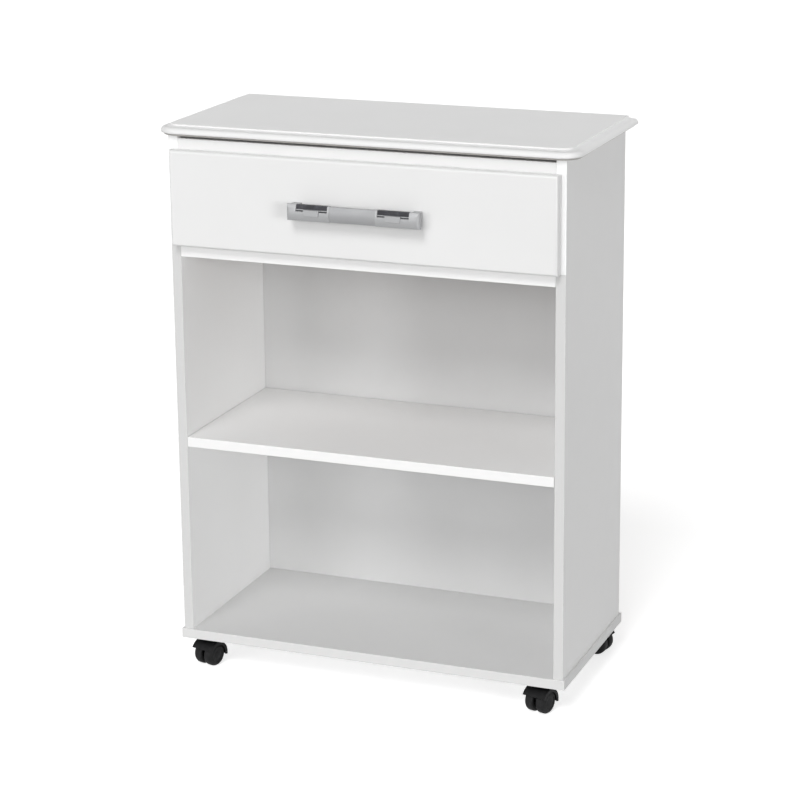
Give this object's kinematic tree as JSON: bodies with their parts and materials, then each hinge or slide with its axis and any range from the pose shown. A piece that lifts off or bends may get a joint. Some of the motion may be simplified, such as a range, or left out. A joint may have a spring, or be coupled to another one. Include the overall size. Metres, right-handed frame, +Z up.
{
  "type": "microwave cart",
  "caption": "White open-fronted kitchen trolley for a microwave: moulded worktop, full-width drawer with bar handle on roller runners, middle shelf, base board, twin-wheel swivel casters.",
  "frame": {"origin": "on the floor, under the middle of the whole cart's box at rest, with the drawer shut", "axes": "+Z up, the drawer front faces -Y, +X is the right-hand side seen from the front"},
  "size_m": [0.636, 0.3246, 0.829],
  "materials": {
    "white_board": "white melamine foil on particle board, satin",
    "back_board": "white lacquered hardboard, matt",
    "drawer_board": "white foil-wrapped fibreboard, matt",
    "zinc_steel": "zinc-plated steel",
    "handle_silver": "satin silver moulding",
    "handle_grip_silver": "satin silver-grey moulding",
    "handle_dark": "dark grey moulding",
    "runner_paint": "white epoxy-coated steel",
    "roller_nylon": "natural white nylon",
    "caster_plate_black": "black painted steel",
    "hood_black": "black moulded nylon, half gloss",
    "wheel_black": "black moulded nylon"
  },
  "bodies": {
    "carcass": {"worktop": "white_board", "side_panel_left": "white_board", "side_panel_right": "white_board", "base_board": "white_board", "back_panel": "back_board", "middle_shelf": "white_board", "upper_rail": "white_board", "lower_rail": "white_board", "shelf_pins": "zinc_steel", "cam_locks": "zinc_steel", "cam_bolts": "zinc_steel", "base_screws": "zinc_steel", "back_nails": "zinc_steel", "cabinet_runner_left": "runner_paint", "cabinet_runner_right": "runner_paint", "cabinet_roller_pins": "zinc_steel", "cabinet_runner_screws": "zinc_steel", "caster_plate_front_left": "caster_plate_black", "caster_plate_front_right": "caster_plate_black", "caster_plate_rear_left": "caster_plate_black", "caster_plate_rear_right": "caster_plate_black", "kingpins": "zinc_steel", "caster_screws": "zinc_steel"},
    "drawer": {"drawer_front": "white_board", "drawer_side_left": "drawer_board", "drawer_side_right": "drawer_board", "drawer_back": "drawer_board", "drawer_bottom": "back_board", "drawer_cams": "zinc_steel", "drawer_bolts": "zinc_steel", "drawer_screws": "zinc_steel", "handle_grip": "handle_grip_silver", "handle_end_left": "handle_silver", "handle_end_right": "handle_silver", "handle_inlays": "handle_dark", "handle_screws": "zinc_steel", "drawer_runner_left": "runner_paint", "drawer_runner_right": "runner_paint", "drawer_roller_pins": "zinc_steel", "drawer_runner_screws": "zinc_steel"},
    "cabinet_roller_left": {"cabinet_roller_left": "roller_nylon"},
    "drawer_roller_left": {"drawer_roller_left": "roller_nylon"},
    "cabinet_roller_right": {"cabinet_roller_right": "roller_nylon"},
    "drawer_roller_right": {"drawer_roller_right": "roller_nylon"},
    "caster_front_left": {"hood_front_left": "hood_black", "axle_front_left": "zinc_steel"},
    "wheel_front_left_a": {"wheel_front_left_a": "wheel_black"},
    "wheel_front_left_b": {"wheel_front_left_b": "wheel_black"},
    "caster_front_right": {"hood_front_right": "hood_black", "axle_front_right": "zinc_steel"},
    "wheel_front_right_a": {"wheel_front_right_a": "wheel_black"},
    "wheel_front_right_b": {"wheel_front_right_b": "wheel_black"},
    "caster_rear_left": {"hood_rear_left": "hood_black", "axle_rear_left": "zinc_steel"},
    "wheel_rear_left_a": {"wheel_rear_left_a": "wheel_black"},
    "wheel_rear_left_b": {"wheel_rear_left_b": "wheel_black"},
    "caster_rear_right": {"hood_rear_right": "hood_black", "axle_rear_right": "zinc_steel"},
    "wheel_rear_right_a": {"wheel_rear_right_a": "wheel_black"},
    "wheel_rear_right_b": {"wheel_rear_right_b": "wheel_black"}
  },
  "joints": [
    {"name": "drawer_slide", "type": "slide", "parent": "carcass", "child": "drawer", "axis": [0, -1, 0], "range_m": [0, 0.2]},
    {"name": "cabinet_roller_left_spin", "type": "hinge", "parent": "carcass", "child": "cabinet_roller_left", "pos_m": [-0.27875, -0.1063, 0.6905], "axis": [1, 0, 0], "range_deg": [-5, 1330]},
    {"name": "drawer_roller_left_spin", "type": "hinge", "parent": "drawer", "child": "drawer_roller_left", "pos_m": [-0.27875, 0.1179, 0.6901], "axis": [1, 0, 0], "range_deg": [-5, 1330]},
    {"name": "cabinet_roller_right_spin", "type": "hinge", "parent": "carcass", "child": "cabinet_roller_right", "pos_m": [0.27875, -0.1063, 0.6905], "axis": [1, 0, 0], "range_deg": [-5, 1330]},
    {"name": "drawer_roller_right_spin", "type": "hinge", "parent": "drawer", "child": "drawer_roller_right", "pos_m": [0.27875, 0.1179, 0.6901], "axis": [1, 0, 0], "range_deg": [-5, 1330]},
    {"name": "swivel_front_left", "type": "hinge", "parent": "carcass", "child": "caster_front_left", "pos_m": [-0.264, -0.0963, 0.04], "axis": [0, 0, 1], "continuous": true},
    {"name": "spin_front_left_a", "type": "hinge", "parent": "caster_front_left", "child": "wheel_front_left_a", "pos_m": [-0.26685, -0.10693, 0.0175], "axis": [0.9659, -0.2588, 0], "continuous": true},
    {"name": "spin_front_left_b", "type": "hinge", "parent": "caster_front_left", "child": "wheel_front_left_b", "pos_m": [-0.26685, -0.10693, 0.0175], "axis": [0.9659, -0.2588, 0], "continuous": true},
    {"name": "swivel_front_right", "type": "hinge", "parent": "carcass", "child": "caster_front_right", "pos_m": [0.264, -0.0963, 0.04], "axis": [0, 0, 1], "continuous": true},
    {"name": "spin_front_right_a", "type": "hinge", "parent": "caster_front_right", "child": "wheel_front_right_a", "pos_m": [0.26115, -0.10693, 0.0175], "axis": [0.9659, -0.2588, 0], "continuous": true},
    {"name": "spin_front_right_b", "type": "hinge", "parent": "caster_front_right", "child": "wheel_front_right_b", "pos_m": [0.26115, -0.10693, 0.0175], "axis": [0.9659, -0.2588, 0], "continuous": true},
    {"name": "swivel_rear_left", "type": "hinge", "parent": "carcass", "child": "caster_rear_left", "pos_m": [-0.264, 0.1407, 0.04], "axis": [0, 0, 1], "continuous": true},
    {"name": "spin_rear_left_a", "type": "hinge", "parent": "caster_rear_left", "child": "wheel_rear_left_a", "pos_m": [-0.27483, 0.13879, 0.0175], "axis": [0.1736, -0.9848, 0], "continuous": true},
    {"name": "spin_rear_left_b", "type": "hinge", "parent": "caster_rear_left", "child": "wheel_rear_left_b", "pos_m": [-0.27483, 0.13879, 0.0175], "axis": [0.1736, -0.9848, 0], "continuous": true},
    {"name": "swivel_rear_right", "type": "hinge", "parent": "carcass", "child": "caster_rear_right", "pos_m": [0.264, 0.1407, 0.04], "axis": [0, 0, 1], "continuous": true},
    {"name": "spin_rear_right_a", "type": "hinge", "parent": "caster_rear_right", "child": "wheel_rear_right_a", "pos_m": [0.27483, 0.13879, 0.0175], "axis": [0.1736, 0.9848, 0], "continuous": true},
    {"name": "spin_rear_right_b", "type": "hinge", "parent": "caster_rear_right", "child": "wheel_rear_right_b", "pos_m": [0.27483, 0.13879, 0.0175], "axis": [0.1736, 0.9848, 0], "continuous": true}
  ],
  "couplings": [
    {"joint": "cabinet_roller_left_spin", "follows": "drawer_slide", "rad_per_m": 114.94},
    {"joint": "drawer_roller_left_spin", "follows": "drawer_slide", "rad_per_m": 114.94},
    {"joint": "cabinet_roller_right_spin", "follows": "drawer_slide", "rad_per_m": 114.94},
    {"joint": "drawer_roller_right_spin", "follows": "drawer_slide", "rad_per_m": 114.94}
  ]
}
